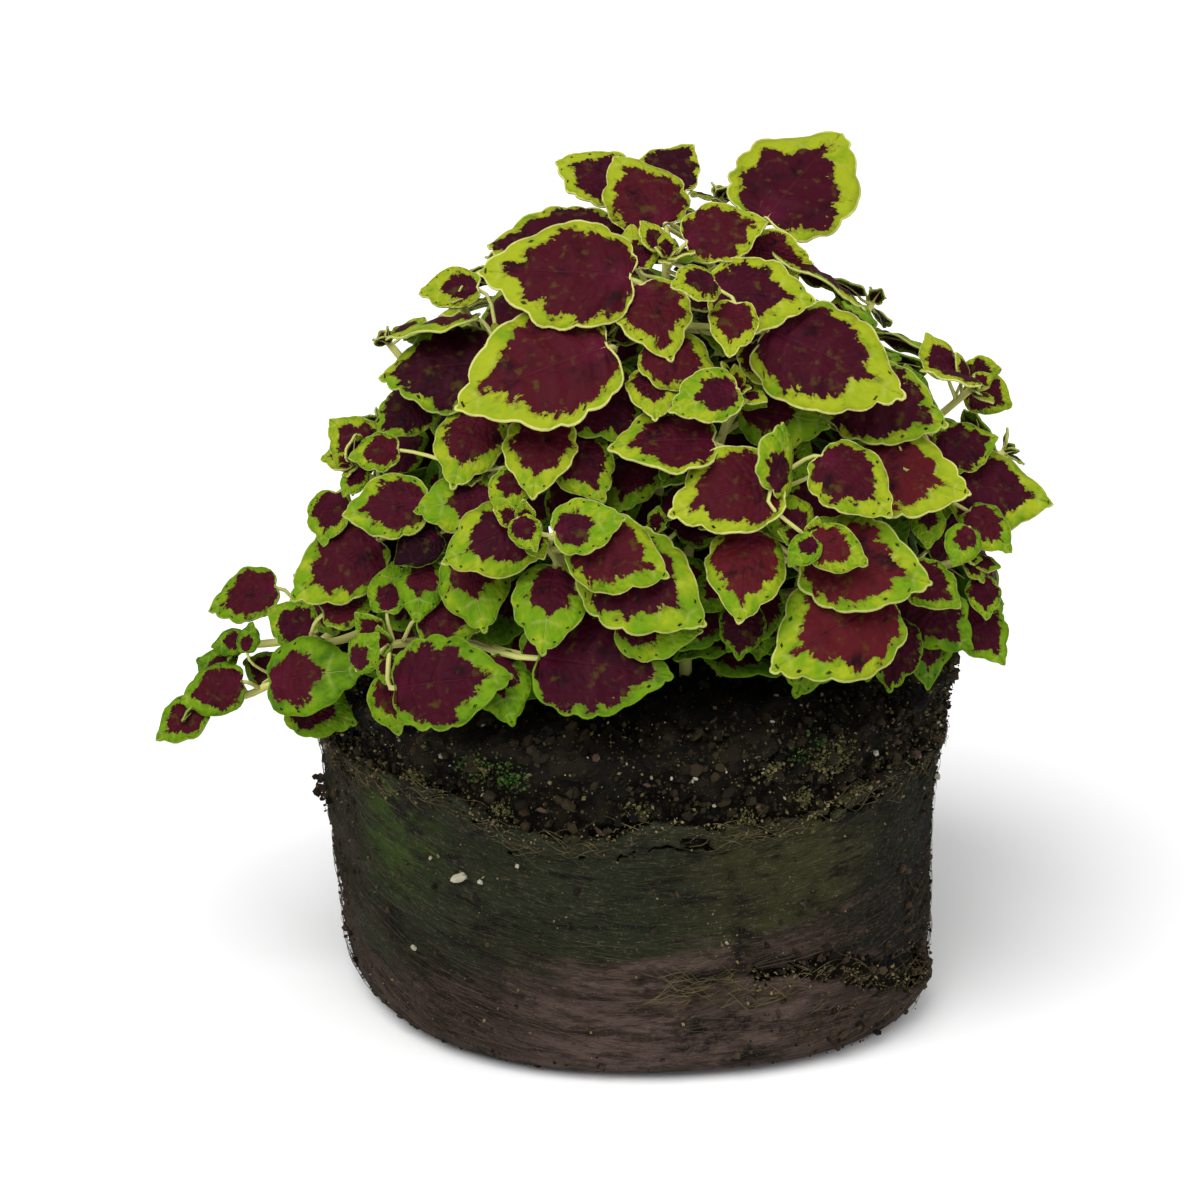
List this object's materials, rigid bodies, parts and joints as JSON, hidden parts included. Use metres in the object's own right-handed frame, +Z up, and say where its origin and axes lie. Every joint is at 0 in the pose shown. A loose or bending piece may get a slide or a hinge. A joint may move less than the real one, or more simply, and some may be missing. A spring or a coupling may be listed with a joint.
{
  "type": "coleus plant with bare root ball",
  "caption": "Bushy small-leaved coleus lifted out of its pot: square leafy stems with lime and burgundy leaves on a soil ball bound in a torn felt of its own roots.",
  "frame": {"origin": "middle of the root ball's flat base", "axes": "+Z up out of the base, through the soil towards the foliage; -Y is the front that the picture shows; +X is to the right of the picture"},
  "size_m": [0.1994, 0.1561, 0.1942],
  "materials": {
    "potting_mix": "crumbly matte potting mix with perlite, bark and moss",
    "root_mat": "matte felt of fine brown roots, greened by algae above",
    "leaf": "satin lime green leaf with a burgundy heart and a pale rim"
  },
  "bodies": {
    "root": {"leafy_stem_01": "leaf", "leafy_stem_02": "leaf", "leafy_stem_03": "leaf", "leafy_stem_04": "leaf", "leafy_stem_05": "leaf", "leafy_stem_06": "leaf", "leafy_stem_07": "leaf", "leafy_stem_08": "leaf", "leafy_stem_09": "leaf", "leafy_stem_10": "leaf", "leafy_stem_11": "leaf", "leafy_stem_12": "leaf", "leafy_stem_13": "leaf", "leafy_stem_14": "leaf", "leafy_stem_15": "leaf", "leafy_stem_16": "leaf", "leafy_stem_17": "leaf", "leafy_stem_18": "leaf", "leafy_stem_19": "leaf", "leafy_stem_20": "leaf", "leafy_stem_21": "leaf", "leafy_stem_22": "leaf", "leafy_stem_23": "leaf", "leafy_stem_24": "leaf", "leafy_stem_25": "leaf", "leafy_stem_26": "leaf", "leafy_stem_27": "leaf", "leafy_stem_28": "leaf", "leafy_stem_29": "leaf", "leafy_stem_30": "leaf", "leafy_stem_31": "leaf", "leafy_stem_32": "leaf", "leafy_stem_33": "leaf", "leafy_stem_34": "leaf", "leafy_stem_35": "leaf", "leafy_stem_36": "leaf", "leafy_stem_37": "leaf", "leafy_stem_38": "leaf", "potting_mix": "potting_mix", "root_mat": "root_mat"}
  },
  "joints": []
}
